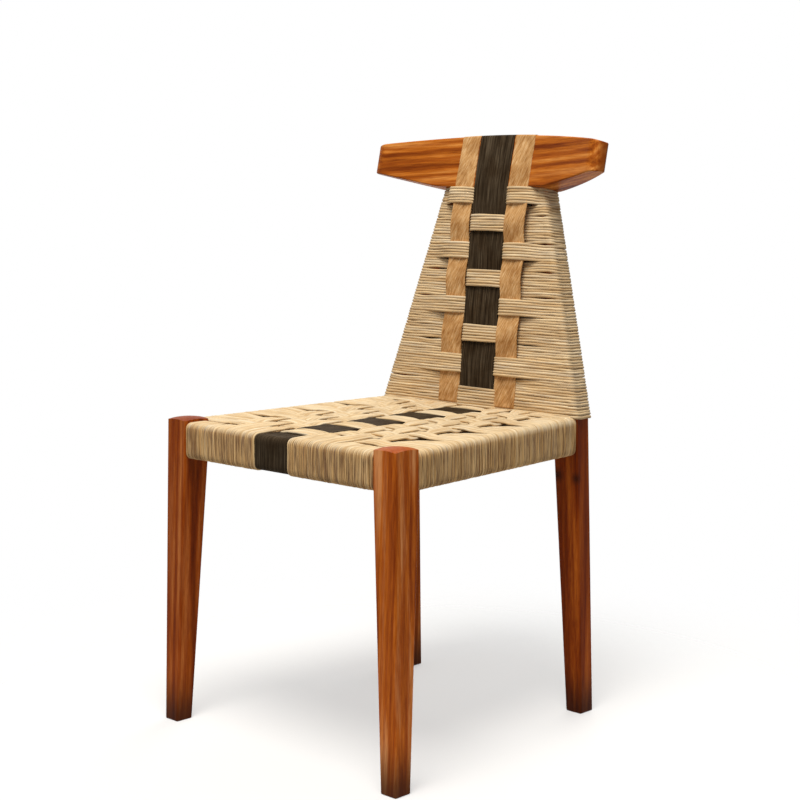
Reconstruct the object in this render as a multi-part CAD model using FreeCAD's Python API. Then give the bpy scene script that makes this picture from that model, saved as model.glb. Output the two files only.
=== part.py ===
import FreeCAD, Part
import math
import os

Vector = FreeCAD.Vector

# A dining chair: a hardwood frame with a woven cord seat and a back wound with cord and strips.
# Sizes are in millimetres: X across the chair, Y backwards, Z up from the floor.
# Y starts at the front face of the front leg tops; the finished chair is centred at the end.
# Left and right are as seen from the front.

# Front legs: full section beside the seat, tapering on the inner faces below it
leg_top = 460.0
leg_crown = 4.0
front_width = 474.0
front_leg_width = 42.0
front_leg_depth = 45.0
front_foot = 29.0
front_splay = 8.0

# Rear legs: one piece from floor to crest, bent at seat height into the back posts
rear_leg_front = 423.0
rear_width = 397.0
rear_leg_width = 47.0
rear_leg_depth = 30.0
rear_foot = 29.5
rear_foot_inset = 2.0
rear_rake = 23.0
post_lean = math.radians(6.65)
back_top_width = 196.0
post_top_width = 30.0
post_top_depth = 29.0
leg_easing = 3.0
end_easing = 2.0

# Crest rail: curved in plan, raised in the middle, leaning back further than the posts
crest_bottom = 800.0
crest_front = 455.0
crest_lean = math.radians(12.6)
crest_height = 82.0
crest_top_drop = 20.4
crest_end_rise = 16.0
crest_level = 112.0
crest_half_length = 223.0
crest_hollow = 42.0
crest_thickness = 50.0
crest_end_thickness = 24.5
crest_front_rounding = 18.0
crest_back_rounding = 6.0
crest_easing = 2.0

# Seat rails and the cords wound over them
seat_drop = 5.0
seat_depth = 52.5
rail_thickness = 24.0
rail_rounding = 5.0
rear_rail_setback = 3.5
cord = 3.0
clearance = 0.3

# Seat weave: each long band goes over two cross bands and under one, stepping one row per column
row_count = 13
columns_each_side = 4
twill_repeat = 3
weave_gap = 4.0

# Back: bands of cord round both posts, and three strips looped over the crest
back_gap = 3.0
band_height = 26.0
band_pitch = 42.8
upper_bands = 7
band_slit = 0.6
strip_thickness = 1.6
black_width = 67.0
tan_width = 41.0
strip_spacing = 4.5
strip_fold = 1.0
strip_seam = 1.0
cord_fall_share = 0.5

# Lower back rail, inside the wound back
lower_rail_height = 24.0
lower_rail_thickness = 21.0
lower_rail_setback = 4.0

# Dowels
dowel_diameter = 10.0
dowel_length = 40.0
rail_dowel_spacing = 22.0
crest_dowel_spacing = 14.0
small_dowel_diameter = 8.0
small_dowel_spacing = 11.0
glue_gap = 0.05
hole_depth_spare = 1.0

# Levels that follow the leg tops
seat_level = leg_top - seat_drop
seat_under = seat_level - seat_depth
back_bottom = leg_top + back_gap


def blend(start, end, share):
    return start + (end - start) * share


def rounded_wire(corners):
    """Closed wire through corner points, each given with the radius that rounds it."""
    stretches = []
    for index, (point, radius) in enumerate(corners):
        before = (corners[index - 1][0] - point).normalize()
        after = (corners[(index + 1) % len(corners)][0] - point).normalize()
        if radius:
            half_angle = before.getAngle(after) / 2
            reach = radius / math.tan(half_angle)
            middle = (before + after).normalize() * (radius / math.sin(half_angle) - radius)
            stretches.append([point + before * reach, point + middle, point + after * reach])
        else:
            stretches.append([point])
    edges = []
    for index, stretch in enumerate(stretches):
        if len(stretch) == 3:
            edges.append(Part.Arc(*stretch).toShape())
        edges.append(Part.makeLine(stretch[-1], stretches[(index + 1) % len(stretches)][0]))
    return Part.Wire(edges)


def rounded_rectangle(low_a, high_a, low_b, high_b, radius, place):
    """Rounded rectangle whose two coordinates are turned into points by place."""
    corners = [(low_a, low_b), (high_a, low_b), (high_a, high_b), (low_a, high_b)]
    return rounded_wire([(place(a, b), radius) for a, b in corners])


def loft(wires):
    return Part.makeLoft(wires, True, True)


def mirrored(shape):
    return shape.mirror(Vector(0, 0, 0), Vector(1, 0, 0))


def both_sides(shape):
    return [mirrored(shape), shape]


def level_edges(solid, height):
    """Edges of a solid that lie flat at one height."""
    def lies_there(edge):
        box = edge.BoundBox
        return abs(box.ZMin - height) < 1e-4 and abs(box.ZMax - height) < 1e-4
    return [edge for edge in solid.Edges if lies_there(edge)]


# Front legs

def front_leg_size(height):
    """Outer x, inner x, front y and back y of the right front leg."""
    splay = front_splay * (1 - height / leg_top)
    taper = min(height / seat_under, 1.0)
    outer = front_width / 2 + splay
    inner = outer - blend(front_foot, front_leg_width, taper)
    back = blend(front_foot, front_leg_depth, taper) - splay
    return outer, inner, -splay, back


def front_leg_section(height):
    outer, inner, front, back = front_leg_size(height)
    return rounded_rectangle(inner, outer, front, back, leg_easing, lambda x, y: Vector(x, y, height))


def crown_ball():
    """Ball whose top is the low crown of the leg: half the crown stands above the leg's height."""
    outer, inner, front, back = front_leg_size(leg_top)
    half_diagonal = math.hypot(outer - inner, back - front) / 2
    radius = (half_diagonal ** 2 + leg_crown ** 2) / (2 * leg_crown)
    summit = leg_top + leg_crown / 2
    return Part.makeSphere(radius, Vector((outer + inner) / 2, (front + back) / 2, summit - radius))


front_leg = loft([front_leg_section(height) for height in (0.0, seat_under, leg_top + leg_crown)])
front_leg = front_leg.makeFillet(end_easing, level_edges(front_leg, 0.0))
crown_block = Part.makeBox(front_width, front_width, 3 * leg_crown,
                           Vector(0, -front_width / 2, leg_top - leg_crown))
front_leg = front_leg.cut(crown_block.cut(crown_ball()))


# Crest rail, drawn upright round its front lower edge and then leaned back

def arc_drop(x, half_chord, rise):
    """How far a circular arc of given half chord and rise has fallen away at x from its middle."""
    radius = (half_chord ** 2 + rise ** 2) / (2 * rise)
    return radius - math.sqrt(radius ** 2 - x ** 2)


crest_end_angle = 2 * math.atan(crest_hollow / crest_half_length)
crest_end_back_x = crest_half_length + crest_end_thickness * math.sin(crest_end_angle)
crest_end_back_y = crest_end_thickness * math.cos(crest_end_angle) - crest_hollow
crest_back_rise = crest_thickness - crest_end_back_y
crest_placement = FreeCAD.Placement(
    Vector(0, crest_front, crest_bottom),
    FreeCAD.Rotation(Vector(1, 0, 0), -math.degrees(crest_lean)))


def crest_front_y(x):
    return -arc_drop(x, crest_half_length, crest_hollow)


def crest_back_y(x):
    return crest_thickness - arc_drop(x, crest_end_back_x, crest_back_rise)


def crest_top_z(x):
    return crest_height - arc_drop(x, crest_half_length, crest_top_drop)


def crest_point(x, y, z):
    return crest_placement.multVec(Vector(x, y, z))


def arc_edge(half_length, curve, plane_point):
    ends = curve(half_length)
    return Part.Arc(plane_point(-half_length, ends), plane_point(0, curve(0)),
                    plane_point(half_length, ends)).toShape()


def crest_plan():
    """Crest outline seen from above, as a prism with rounded ends."""
    def on_plan(x, y):
        return Vector(x, y, 0)
    front_end = on_plan(crest_half_length, -crest_hollow)
    back_end = on_plan(crest_end_back_x, crest_end_back_y)
    edges = [
        arc_edge(crest_half_length, crest_front_y, on_plan),
        Part.makeLine(front_end, back_end),
        arc_edge(crest_end_back_x, crest_back_y, on_plan),
        Part.makeLine(mirrored(Part.Vertex(back_end)).Point, mirrored(Part.Vertex(front_end)).Point)]
    outline = Part.Wire(Part.__sortEdges__(edges))
    prism = Part.Face(outline).extrude(Vector(0, 0, crest_height))
    for corner, rounding in ((front_end, crest_front_rounding), (back_end, crest_back_rounding)):
        upright = [edge for edge in prism.Edges
                   if abs(edge.CenterOfMass.y - corner.y) < 1e-4 and edge.BoundBox.XLength < 1e-4]
        prism = prism.makeFillet(rounding, upright)
    return prism


def crest_elevation():
    """Crest outline seen from the front, as a deep prism."""
    reach = 2 * crest_end_back_x - crest_half_length
    depth = crest_hollow + crest_thickness

    def on_elevation(x, z):
        return Vector(x, -depth, z)
    end_rise = crest_end_rise * (reach - crest_level) / (crest_half_length - crest_level)
    underside = [(reach, end_rise), (crest_level, 0), (-crest_level, 0), (-reach, end_rise)]
    corners = [on_elevation(reach, crest_top_z(reach))]
    corners += [on_elevation(x, z) for x, z in underside]
    corners.append(on_elevation(-reach, crest_top_z(reach)))
    edges = Part.makePolygon(corners).Edges
    edges.append(arc_edge(reach, crest_top_z, on_elevation))
    outline = Part.Wire(Part.__sortEdges__(edges))
    return Part.Face(outline).extrude(Vector(0, 2 * depth, 0))


crest = crest_plan().common(crest_elevation()).removeSplitter().Solids[0]
crest = crest.makeFillet(crest_easing, crest.Edges)
crest.Placement = crest_placement
above_crest_underside = Part.makeBox(
    2 * crest_level, 2 * crest_thickness, crest_height,
    Vector(-crest_level, crest_front_y(crest_level) - crest_thickness / 4, 0))
above_crest_underside.Placement = crest_placement.multiply(above_crest_underside.Placement)


# Rear legs and back posts

def rear_leg_size(height):
    """Outer x, inner x, front y and back y of the right rear leg."""
    if height < leg_top:
        share = height / leg_top
        outer = rear_width / 2 - rear_foot_inset * (1 - share)
        width = blend(rear_foot, rear_leg_width, share)
        front = rear_leg_front + rear_rake * (1 - share)
        depth = rear_leg_depth
    else:
        share = (height - leg_top) / (crest_bottom - leg_top)
        outer = blend(rear_width, back_top_width, share) / 2
        width = blend(rear_leg_width, post_top_width, share)
        front = rear_leg_front + (height - leg_top) * math.tan(post_lean)
        depth = blend(rear_leg_depth, post_top_depth, share)
    return outer, outer - width, front, front + depth


def rear_leg_section(height):
    outer, inner, front, back = rear_leg_size(height)
    return rounded_rectangle(inner, outer, front, back, leg_easing, lambda x, y: Vector(x, y, height))


rear_leg = loft([rear_leg_section(height) for height in (0.0, leg_top, crest_bottom + crest_easing)])
rear_leg = rear_leg.cut(above_crest_underside)
rear_leg = rear_leg.makeFillet(end_easing, level_edges(rear_leg, 0.0))


# Seat rails: rounded bars that end on the legs' faces

wrap = cord + clearance
rail_top = seat_level - wrap
rail_bottom = seat_under + wrap
rail_middle = (rail_top + rail_bottom) / 2
front_rail_front = wrap
rear_rail_front = rear_leg_front + rear_rail_setback
rear_rail_back = rear_rail_front + rail_thickness
side_front_y = front_leg_size(leg_top)[3]
side_rear_y = rear_leg_size(leg_top)[2]


def side_face_x(y):
    """Outer face of the wound side rail, flush with both legs."""
    share = (y - side_front_y) / (side_rear_y - side_front_y)
    return blend(front_width, rear_width, share) / 2


def cross_bar(front, half_length):
    """Rounded rail that runs across the chair."""
    def section(x):
        return rounded_rectangle(front, front + rail_thickness, rail_bottom, rail_top, rail_rounding,
                                 lambda y, z: Vector(x, y, z))
    return loft([section(-half_length), section(half_length)])


def side_bar():
    """Rounded rail that runs from the front leg to the rear leg, reaching into both."""
    def section(y):
        outer = side_face_x(y) - wrap
        return rounded_rectangle(outer - rail_thickness, outer, rail_bottom, rail_top, rail_rounding,
                                 lambda x, z: Vector(x, y, z))
    return loft([section(side_front_y - rail_thickness / 2), section(side_rear_y + rail_thickness / 2)])


front_legs = both_sides(front_leg)
rear_legs = both_sides(rear_leg)
front_rail = cross_bar(front_rail_front, front_width / 2 - front_leg_width / 2).cut(front_legs)
rear_rail = cross_bar(rear_rail_front, rear_width / 2 - rear_leg_width / 2).cut(rear_legs)
side_rail = side_bar().cut([front_leg, rear_leg])


# The leaning plane of the back: x across, out from the posts' front faces, up along the posts

back_origin = Vector(0, rear_leg_size(back_bottom)[2], back_bottom)
back_up = Vector(0, math.sin(post_lean), math.cos(post_lean))
back_out = Vector(0, -math.cos(post_lean), math.sin(post_lean))
crest_up = Vector(0, math.sin(crest_lean), math.cos(crest_lean))


def back_point(x, out, up):
    return Vector(x, 0, 0) + back_origin + back_out * out + back_up * up


def on_back(point):
    """Out and up of a point, measured on the leaning plane of the back."""
    offset = point - back_origin
    return offset.dot(back_out), offset.dot(back_up)


def under_crest(out):
    """How far up the back the crest's underside lies, less the clearance."""
    start = crest_point(0, 0, -clearance) - back_origin
    return (start.dot(crest_up) - out * back_out.dot(crest_up)) / back_up.dot(crest_up)


def post_back_out(up):
    """Out of the posts' back faces (below zero) at a place up the back."""
    out = 0.0
    for step in range(4):
        point = back_point(0, out, up)
        out -= (rear_leg_size(point.z)[3] - point.y) / math.cos(post_lean)
    return out


def lower_rail_section(x):
    front = -lower_rail_setback
    return rounded_rectangle(front - lower_rail_thickness, front, clearance, clearance + lower_rail_height,
                             leg_easing, lambda out, up: back_point(x, out, up))


lower_rail_half = rear_width / 2 - rear_leg_width / 2
lower_rail = loft([lower_rail_section(-lower_rail_half), lower_rail_section(lower_rail_half)]).cut(rear_legs)


# Dowels, and the holes drilled for them

def peg(middle, direction, diameter, length):
    return Part.makeCylinder(diameter / 2, length, middle - direction * (length / 2), direction)


def dowels_and_holes(middles, direction, diameter):
    dowels = [peg(middle, direction, diameter, dowel_length) for middle in middles]
    holes = [peg(middle, direction, diameter + 2 * glue_gap, dowel_length + 2 * hole_depth_spare)
             for middle in middles]
    return dowels, holes


rail_dowel_heights = [rail_middle - rail_dowel_spacing / 2, rail_middle + rail_dowel_spacing / 2]
across = Vector(1, 0, 0)
front_rail_dowels, front_rail_holes = dowels_and_holes(
    [Vector(front_leg_size(height)[1], front_rail_front + rail_thickness / 2, height)
     for height in rail_dowel_heights], across, dowel_diameter)
rear_rail_dowels, rear_rail_holes = dowels_and_holes(
    [Vector(rear_leg_size(height)[1], rear_rail_front + rail_thickness / 2, height)
     for height in rail_dowel_heights], across, dowel_diameter)

side_run = Vector(side_face_x(side_rear_y) - side_face_x(side_front_y), side_rear_y - side_front_y, 0)
side_direction = side_run.normalize()
side_dowel_middles = []
for height in rail_dowel_heights:
    for leg_face in (front_leg_size(height)[3], rear_leg_size(height)[2]):
        rail_centre = side_face_x(leg_face) - wrap - rail_thickness / 2
        side_dowel_middles.append(Vector(rail_centre, leg_face, height))
side_dowels, side_holes = dowels_and_holes(side_dowel_middles, side_direction, dowel_diameter)


def post_centre(height):
    outer, inner, front, back = rear_leg_size(height)
    return Vector((outer + inner) / 2, (front + back) / 2, height)


post_direction = (post_centre(crest_bottom) - post_centre(leg_top)).normalize()
post_top_centre = back_point(post_centre(crest_bottom).x, -post_top_depth / 2, under_crest(-post_top_depth / 2))
crest_dowels, crest_holes = dowels_and_holes(
    [post_top_centre + across * side for side in (-crest_dowel_spacing / 2, crest_dowel_spacing / 2)],
    post_direction, dowel_diameter)

lower_rail_centre_out = -lower_rail_setback - lower_rail_thickness / 2
lower_dowel_middles = []
for side in (-small_dowel_spacing / 2, small_dowel_spacing / 2):
    middle = back_point(0, lower_rail_centre_out, clearance + lower_rail_height / 2 + side)
    middle.x = rear_leg_size(middle.z)[1]
    lower_dowel_middles.append(middle)
lower_dowels, lower_holes = dowels_and_holes(lower_dowel_middles, across, small_dowel_diameter)

front_leg = front_leg.cut(front_rail_holes + side_holes)
rear_leg = rear_leg.cut(rear_rail_holes + side_holes + crest_holes + lower_holes)
side_rail = side_rail.cut(side_holes)
for hole in front_rail_holes:
    front_rail = front_rail.cut(both_sides(hole))
for hole in rear_rail_holes:
    rear_rail = rear_rail.cut(both_sides(hole))
for hole in crest_holes:
    crest = crest.cut(both_sides(hole))
for hole in lower_holes:
    lower_rail = lower_rail.cut(both_sides(hole))


# Woven loops: flat bands of cord that close round two rails or posts

def loop_wire(top, bottom, bend, offset, place):
    """Wire at an offset from a loop's middle line: top run left to right, bottom run right to left."""
    corners = []
    for run, side in ((top, 1), (bottom, -1)):
        for index, (along, height) in enumerate(run):
            outward = {0: -side, len(run) - 1: side}.get(index, 0)
            point = place(along + outward * offset, height + side * offset)
            corners.append((point, bend + offset if outward else 0.0))
    return rounded_wire(corners)


def woven_loop(ends, bend):
    """Band of cord between two loops, each given as its top run, bottom run and placing function."""
    outside = loft([loop_wire(top, bottom, bend, cord / 2, place) for top, bottom, place in ends])
    inside = loft([loop_wire(top, bottom, bend, -cord / 2, place) for top, bottom, place in ends])
    return outside.cut(inside)


def stepped_run(start, end, changes, low, high):
    """Run that starts and ends low and steps between levels at the given places."""
    points = [(start, low)]
    level = low
    for place, is_high in changes:
        wanted = high if is_high else low
        if wanted != level:
            points += [(place - weave_gap / 2, level), (place + weave_gap / 2, wanted)]
            level = wanted
    points.append((end, low))
    return points


# Seat weave

low_level = seat_level - cord / 2
high_level = low_level + cord + 2 * clearance
under_level = seat_under + cord / 2
lifted_under_level = under_level + cord + 2 * clearance
rail_bend = rail_rounding + clearance + cord / 2
column_pitch = (rear_leg_size(seat_level)[1] - clearance) / columns_each_side
row_pitch = (side_rear_y - side_front_y) / row_count
loop_front_y = front_rail_front - clearance - cord / 2
loop_back_y = rear_rail_back + clearance + cord / 2


def long_band_is_over(column, row):
    """Whether a long band lies over a cross band; column 0 is the black strip, row 0 the first row."""
    return (row - column) % twill_repeat != 0


def long_band(column, left, right):
    """Band of cords wound round the front and rear rails."""
    changes = [(side_front_y + row * row_pitch, long_band_is_over(column, row)) for row in range(row_count)]
    changes.append((side_rear_y, False))
    top = stepped_run(loop_front_y, loop_back_y, changes, low_level, high_level)
    bottom = [(loop_back_y, under_level), (loop_front_y, under_level)]
    return woven_loop([(top, bottom, lambda y, z: Vector(left, y, z)),
                       (top, bottom, lambda y, z: Vector(right, y, z))], rail_bend)


def cross_band(row):
    """Band of cords wound round both side rails."""
    changes = []
    for column in range(-columns_each_side, columns_each_side):
        beside = column if column >= 0 else -column - 1
        changes.append((column * column_pitch, not long_band_is_over(beside, row)))
    changes.append((columns_each_side * column_pitch, False))
    edge = columns_each_side * column_pitch

    def loop_at(y):
        side = side_face_x(y) - cord / 2
        top = stepped_run(-side, side, changes, low_level, high_level)
        bottom = stepped_run(-side, side, [(-edge, True), (edge, False)], under_level, lifted_under_level)
        return top, list(reversed(bottom)), lambda x, z: Vector(x, y, z)
    front = side_front_y + row * row_pitch + weave_gap / 2
    return woven_loop([loop_at(front), loop_at(front + row_pitch - weave_gap)], rail_bend)


def corner_turns():
    """Short turns of cord that cover the front rail beside the leg."""
    left = columns_each_side * column_pitch + weave_gap / 2
    right = front_leg_size(leg_top)[1] - clearance
    back = front_rail_front + rail_thickness + clearance + cord / 2
    top = [(loop_front_y, low_level), (back, low_level)]
    bottom = [(back, under_level), (loop_front_y, under_level)]
    return woven_loop([(top, bottom, lambda y, z: Vector(left, y, z)),
                       (top, bottom, lambda y, z: Vector(right, y, z))], rail_bend)


black_half_seat = column_pitch - weave_gap / 2
seat_black_strip = long_band(0, -black_half_seat, black_half_seat)
seat_long_cords = [long_band(column, column * column_pitch + weave_gap / 2,
                             (column + 1) * column_pitch - weave_gap / 2)
                   for column in range(1, columns_each_side)]
seat_cross_cords = [cross_band(row) for row in range(row_count)]
front_corner_turn = corner_turns()


# Strips of the back: each one loops over the crest and round the lower back rail

black_edge = black_width / 2
tan_inner = black_edge + strip_spacing
tan_outer = tan_inner + tan_width
strip_out = wrap + clearance
post_back_bottom = post_back_out(0)


def strip_stations(x, back_bulge, top_bulge):
    """Inner and outer points of a strip's edge at x, from the seam under the lower rail round and back to it."""
    skin = [clearance, clearance + strip_thickness]
    front = crest_front_y(x)
    back = crest_back_y(x) + back_bulge
    top = crest_top_z(x) + top_bulge
    seam = post_back_bottom / 2
    return [
        [back_point(x, seam + strip_seam / 2, -depth) for depth in skin],
        [back_point(x, strip_out - clearance + depth, -depth) for depth in skin],
        [crest_point(x, front - depth, 0) for depth in skin],
        [crest_point(x, front - depth, top - strip_fold) for depth in skin],
        [crest_point(x, front + strip_fold, top + depth) for depth in skin],
        [crest_point(x, back - strip_fold, top + depth) for depth in skin],
        [crest_point(x, back + depth, top - strip_fold) for depth in skin],
        [crest_point(x, back + depth, 0) for depth in skin],
        [back_point(x, post_back_bottom - strip_out + clearance - depth, -depth) for depth in skin],
        [back_point(x, seam - strip_seam / 2, -depth) for depth in skin]]


def bulge(curve, left, right):
    """How far a crest surface stands out between the two edges of a flat strip."""
    return curve((left + right) / 2) - (curve(left) + curve(right)) / 2


def back_strip(left, right):
    """Flat strip built face by face from the four corners of each station."""
    bulges = [bulge(curve, left, right) for curve in (crest_back_y, crest_top_z)]
    stations = [at_left + at_right[::-1] for at_left, at_right
                in zip(strip_stations(left, *bulges), strip_stations(right, *bulges))]
    faces = [Part.Face(Part.makePolygon(station + station[:1])) for station in (stations[0], stations[-1])]
    for here, there in zip(stations, stations[1:]):
        for corner in range(4):
            edges = [Part.makeLine(station[corner - 1], station[corner]) for station in (here, there)]
            faces.append(Part.makeRuledSurface(*edges))
    shell = Part.Shell(faces)
    shell.sewShape()
    return Part.Solid(shell)


back_black_strip = back_strip(-black_edge, black_edge)
back_tan_strip = back_strip(tan_inner, tan_outer)


# Cords of the back: bands wound round both posts, behind the strips or in front of some of them

post_bend = leg_easing + clearance + cord / 2
low_out = clearance + cord / 2


def over_strip(x, up, is_front):
    """Out of a cord's middle line where it clears the outer face of the strip at x."""
    lift = strip_thickness + clearance + cord / 2
    if is_front:
        crest_out, crest_place = on_back(crest_point(x, crest_front_y(x) - clearance, 0))
        return blend(strip_out, crest_out, up / crest_place) + lift
    strip_edges = (-black_edge, black_edge) if x <= black_edge else (tan_inner, tan_outer)
    stand_off = clearance + bulge(crest_back_y, *strip_edges)
    crest_out, crest_place = on_back(crest_point(x, crest_back_y(x) + stand_off, 0))
    return blend(post_back_bottom - strip_out, crest_out, up / crest_place) - lift


def half_run(kind, half_width, low, up, is_front):
    """Middle line of one band from the centre of the chair to the post's corner."""
    farthest = max if is_front else min
    points = []
    if kind == "tan":
        peak = farthest(over_strip(x, up, is_front) for x in (tan_inner, tan_outer))
        fall = blend(tan_outer, half_width - post_bend, cord_fall_share)
        points = [(black_edge + clearance, low), (tan_inner - clearance, peak),
                  (tan_outer + clearance, peak), (fall, low)]
    elif kind == "black":
        peak = farthest(over_strip(x, up, is_front) for x in (0, black_edge))
        points = [(black_edge + clearance, peak), (tan_inner - clearance, low)]
    return points + [(half_width, low)]


def back_loop(kind, up_at):
    """Loop of a back band, lying at up_at(out) on the back."""
    post_back = post_back_out(up_at(-post_top_depth))
    front_half = rear_leg_size(back_point(0, 0, up_at(0)).z)[0] + low_out
    back_half = rear_leg_size(back_point(0, post_back, up_at(post_back)).z)[0] + low_out
    front = half_run(kind, front_half, low_out, up_at(0), True)
    back = half_run(kind, back_half, post_back - low_out, up_at(post_back), False)
    top = [(-x, out) for x, out in reversed(front)] + front
    bottom = list(reversed(back)) + [(-x, out) for x, out in back]
    return top, bottom, lambda x, out: back_point(x, out, up_at(out))


def back_rows():
    """Kind, lower edge and upper edge of every band, from the seat up."""
    top = under_crest(0)
    bands = [("black", 0.0, band_height)]
    for index in reversed(range(upper_bands)):
        upper = top - index * band_pitch
        bands.append(("tan" if index % 2 == 0 else "black", upper - band_height, upper))
    rows = []
    for band, following in zip(bands, bands[1:] + [None]):
        rows.append(band)
        if following:
            rows.append(("behind", band[2] + band_slit, following[1] - band_slit))
    return rows


back_cords = {"tan": [], "black": [], "behind": []}
rows_of_back = back_rows()
for row in rows_of_back:
    kind, lower, upper = row
    ends = [back_loop(kind, lambda out: lower)]
    if row is rows_of_back[-1]:
        ends.append(back_loop(kind, under_crest))
    else:
        ends.append(back_loop(kind, lambda out: upper))
    back_cords[kind].append(woven_loop(ends, post_bend))


# Finished pieces, centred on the floor and written out one file per node

nodes = {
    "front_leg_left": [mirrored(front_leg)],
    "front_leg_right": [front_leg],
    "rear_leg_left": [mirrored(rear_leg)],
    "rear_leg_right": [rear_leg],
    "front_seat_rail": [front_rail],
    "rear_seat_rail": [rear_rail],
    "side_seat_rail_left": [mirrored(side_rail)],
    "side_seat_rail_right": [side_rail],
    "crest_rail": [crest],
    "lower_back_rail": [lower_rail],
    "front_rail_dowels": front_rail_dowels + [mirrored(dowel) for dowel in front_rail_dowels],
    "rear_rail_dowels": rear_rail_dowels + [mirrored(dowel) for dowel in rear_rail_dowels],
    "side_rail_dowels_left": [mirrored(dowel) for dowel in side_dowels],
    "side_rail_dowels_right": side_dowels,
    "crest_dowels": crest_dowels + [mirrored(dowel) for dowel in crest_dowels],
    "lower_back_rail_dowels": lower_dowels + [mirrored(dowel) for dowel in lower_dowels],
    "seat_black_strip": [seat_black_strip],
    "seat_long_cords_left": [mirrored(band) for band in seat_long_cords],
    "seat_long_cords_right": seat_long_cords,
    "seat_cross_cords": seat_cross_cords,
    "front_corner_turns": both_sides(front_corner_turn),
    "back_cords_over_tan": back_cords["tan"],
    "back_cords_over_black": back_cords["black"],
    "back_cords_behind_strips": back_cords["behind"],
    "back_black_strip": [back_black_strip],
    "back_tan_strip_left": [mirrored(back_tan_strip)],
    "back_tan_strip_right": [back_tan_strip],
}

everything = Part.makeCompound([solid for solids in nodes.values() for solid in solids])
box = everything.optimalBoundingBox(False)
centre = Vector(0, -(box.YMin + box.YMax) / 2, -box.ZMin)
os.makedirs("parts", exist_ok=True)
for name, solids in nodes.items():
    node = solids[0] if len(solids) == 1 else Part.makeCompound(solids)
    node.translated(centre).exportStep("parts/" + name + ".step")
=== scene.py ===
# A woven dining chair: red-brown hardwood frame, cord seat, back wound with cord and flat strips.
import math
import random

import bmesh
import bpy
from mathutils import Euler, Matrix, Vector, noise


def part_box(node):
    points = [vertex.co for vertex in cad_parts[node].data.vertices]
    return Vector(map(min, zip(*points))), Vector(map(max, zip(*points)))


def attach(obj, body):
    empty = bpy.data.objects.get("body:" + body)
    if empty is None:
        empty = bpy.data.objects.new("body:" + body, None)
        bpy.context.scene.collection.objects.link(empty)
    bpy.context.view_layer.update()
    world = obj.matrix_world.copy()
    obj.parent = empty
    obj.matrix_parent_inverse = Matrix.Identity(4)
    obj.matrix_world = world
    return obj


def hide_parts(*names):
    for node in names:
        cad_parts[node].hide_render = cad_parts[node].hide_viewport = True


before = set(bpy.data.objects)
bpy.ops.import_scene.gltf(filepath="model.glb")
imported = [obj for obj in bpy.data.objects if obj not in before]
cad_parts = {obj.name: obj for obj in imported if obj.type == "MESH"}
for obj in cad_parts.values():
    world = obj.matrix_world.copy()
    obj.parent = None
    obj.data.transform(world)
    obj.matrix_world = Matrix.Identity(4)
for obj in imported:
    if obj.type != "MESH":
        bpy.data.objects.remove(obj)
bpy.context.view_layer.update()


# Wooden frame: legs, rails and crest of a red-brown hardwood, each shaped from the solid and glued to its
# neighbours with dowels. The grain runs along each piece, under a thin clear satin varnish.

def linear(hex_colour):
    """Scene-linear colour of a six-figure sRGB colour."""
    channels = [int(hex_colour[place:place + 2], 16) / 255 for place in (0, 2, 4)]
    return [c / 12.92 if c <= 0.04045 else ((c + 0.055) / 1.055) ** 2.4 for c in channels] + [1.0]


def set_inputs(tree, node, inputs):
    """Set a shader node's inputs to constants, or link them to the outputs of other nodes."""
    for name, value in inputs.items():
        if isinstance(value, bpy.types.NodeSocket):
            tree.links.new(value, node.inputs[name])
        else:
            node.inputs[name].default_value = value


def add_node(tree, kind, inputs, stops=(), **settings):
    """Shader node with its settings, its inputs as constants or links, and the stops of a colour ramp."""
    node = tree.nodes.new(kind)
    for name, value in settings.items():
        setattr(node, name, value)
    set_inputs(tree, node, inputs)
    for index, (position, colour) in enumerate(stops):
        elements = node.color_ramp.elements
        element = elements[index] if index < 2 else elements.new(position)
        element.position = position
        element.color = linear(colour)
    return node


def new_material(name):
    """New material and its node tree, which starts with a Principled surface."""
    material = bpy.data.materials.new(name)
    material.use_nodes = True
    return material, material.node_tree


# A Mix node has several inputs of the same name, so its colour inputs and output go by number.
mix_share = 0
mix_under = 6
mix_over = 7
mix_result = 2

# Varnished hardwood, planed and rubbed smooth. The eye gets orange-brown streaks and darker growth rings
# along the grain, dark end grain, darkened feet and only a weak sheen. Pattern sizes are in millimetres
# across the grain. Real pores are much finer, and are drawn this coarse so that they show.
plain_tones = ("8A3A04", "BC5E10", "DC8A4A")
dark_brown = "2A0F04"
streak_width = 16.0
ring_spacing = 9.0
pore_width = 1.1
grain_stretch = 24
pattern_strength = 0.45
foot_height = 85.0
dark_strength = 0.85


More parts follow.
